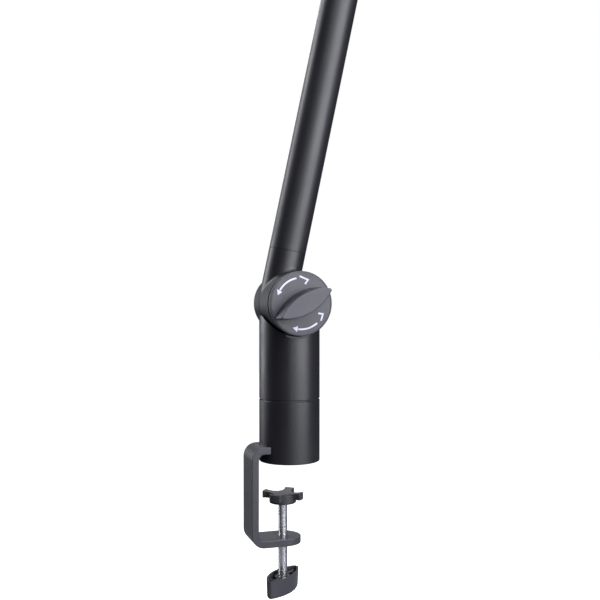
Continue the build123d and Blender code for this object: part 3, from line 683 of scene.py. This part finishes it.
def knob_marks(name, joint, thick, radius, grip_turn):
    """Both sets of marks on a knob's face, round its axis."""
    axis = Vector(joints[joint]["pos_m"])

    def spot(angle, share):
        turn = radians(grip_turn + angle)
        return Vector((cos(turn), sin(turn))) * share * radius

    pieces = []
    for side, start, arms in (
        (1, 72, ((64, 0.84), (44, 0.76), (49, 0.61))),
        (-1, 79, ((69, 0.83), (54, 0.77), (58, 0.63))),
    ):
        arc = [spot(side * (start + 3 * step), 0.79) for step in range(17)]
        chevron = [spot(side * angle, share) for angle, share in arms]
        point = start + 60
        barb = side * (point - 11)
        head = [spot(barb, 0.88), spot(side * point, 0.79), spot(barb, 0.70)]
        for outline in (stroke(arc, 0.052 * radius), stroke(chevron, 0.05 * radius), head):
            pieces.append(printed(name, outline, -thick))
    marks = joined(pieces, name)
    settle(marks, axis)
    hand_over(marks, joint.replace("_turn", ""), "printed_white")


BIG_KNOB = (9.3, 26.9)  # thickness and radius
SMALL_KNOB = (6.0, 15.0)
knob_marks("base_knob_marks", "base_knob_turn", *BIG_KNOB, grip_turn=29.3)
knob_marks("elbow_knob_marks", "elbow_knob_turn", *BIG_KNOB, grip_turn=-35.0 - LOWER_LEAN * 180 / pi)
knob_marks("head_knob_marks", "head_knob_turn", *SMALL_KNOB, grip_turn=50.0)

# %% [markdown]
# ## Studio
#
# The floor is a plain pale sheet well below the clamp. The room is white to the eye and dim to
# everything else. Glossy black shows only what it reflects, so the lights are large soft panels
# placed for their reflections: a tall one behind on the left draws a bright line down the left of
# every tube, a broad one in front on the right fills the right-hand side, and the dark room between
# them leaves the deep band that makes a tube look round. A narrow card in front picks out bright
# metal, a high panel behind keeps the back from going black, and one overhead lights the tops. The
# paper glows for the camera only, so it stays white without lighting the stand from below.

# %% Floor
FLOOR_DROP = 0.34  # below the lowest piece, so that no pose of the arms or the screw reaches it
bpy.ops.mesh.primitive_plane_add(size=12, location=(0, 0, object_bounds()[0].z - FLOOR_DROP))
floor = bpy.context.active_object
floor.name = "floor"
paper = bpy.data.materials.new("pale_paper")
paper.use_nodes = True
paper_tree = paper.node_tree
paper_ray = paper_tree.nodes.new("ShaderNodeLightPath")
paper_shader = paper_tree.nodes["Principled BSDF"]
paper_shader.inputs["Roughness"].default_value = 0.9
paper_tree.links.new(paper_ray.outputs["Is Camera Ray"], paper_shader.inputs["Emission Strength"])
paper_shader.inputs["Emission Color"].default_value = (1.0, 1.0, 1.0, 1.0)
shade = paper_tree.nodes.new("ShaderNodeMix")
shade.data_type = "RGBA"
shade.inputs["A"].default_value = (0.28, 0.28, 0.30, 1.0)
shade.inputs["B"].default_value = (0.86, 0.86, 0.87, 1.0)
paper_tree.links.new(paper_ray.outputs["Is Camera Ray"], shade.inputs["Factor"])
paper_tree.links.new(shade.outputs["Result"], paper_shader.inputs["Base Color"])
floor.data.materials.append(paper)

# %% Room
room = bpy.data.worlds.new("room")
bpy.context.scene.world = room
room.use_nodes = True
tree = room.node_tree
tree.nodes.clear()
seen = tree.nodes.new("ShaderNodeBackground")
seen.inputs["Color"].default_value = (1.0, 1.0, 1.0, 1.0)
seen.inputs["Strength"].default_value = 1.0
felt = tree.nodes.new("ShaderNodeBackground")
felt.inputs["Color"].default_value = (0.95, 0.97, 1.0, 1.0)
felt.inputs["Strength"].default_value = 0.07
ray = tree.nodes.new("ShaderNodeLightPath")
choice = tree.nodes.new("ShaderNodeMixShader")
tree.links.new(ray.outputs["Is Camera Ray"], choice.inputs["Fac"])
tree.links.new(felt.outputs[0], choice.inputs[1])
tree.links.new(seen.outputs[0], choice.inputs[2])
tree.links.new(choice.outputs[0], tree.nodes.new("ShaderNodeOutputWorld").inputs["Surface"])

# %% Camera
CAMERA_TURN = radians(17.5)
ahead = Vector((sin(CAMERA_TURN), cos(CAMERA_TURN), 0))
aside = Vector((cos(CAMERA_TURN), -sin(CAMERA_TURN), 0))
camera = bpy.data.objects.new("camera", bpy.data.cameras.new("camera"))
bpy.context.scene.collection.objects.link(camera)
camera.data.lens = 51.35
camera.data.sensor_width = 36.0
camera.location = BASE_HINGE - 0.7367 * ahead + 0.0091 * aside + Vector((0, 0, 0.0029))
camera.rotation_euler = (pi / 2, 0, -CAMERA_TURN)
bpy.context.scene.camera = camera


# %% Lights
def soft_panel(name, angle, height, distance, width, tall, watts):
    """A large area light, turned round the column from the camera's side by an angle in degrees."""
    turn = CAMERA_TURN + radians(angle)
    spot = Vector((-sin(turn), -cos(turn), 0)) * distance
    data = bpy.data.lights.new(name, "AREA")
    data.shape = "RECTANGLE"
    data.size = width
    data.size_y = tall
    data.energy = watts
    data.color = (0.93, 0.94, 1.0)
    light = bpy.data.objects.new(name, data)
    light.location = spot + Vector((0, 0, height))
    light.visible_camera = False
    light.rotation_euler = (Vector((0, 0, 0.2)) - light.location).to_track_quat("-Z", "Y").to_euler()
    bpy.context.scene.collection.objects.link(light)


# Each one's angle, height and distance, then its own width and height in metres, and its watts.
soft_panel("left_line", 118, 0.52, 1.1, 0.5, 1.26, 12)
soft_panel("right_broad", -50, 0.57, 1.3, 1.15, 1.36, 38)
soft_panel("front_card", -14, 0.34, 1.2, 0.12, 0.9, 2.5)
soft_panel("back_fill", 172, 1.35, 1.3, 1.2, 0.7, 16)
soft_panel("overhead", -20, 1.5, 0.8, 1.2, 1.2, 20)
bpy.context.scene.view_settings.view_transform = "Standard"
bpy.context.scene.view_settings.look = "None"
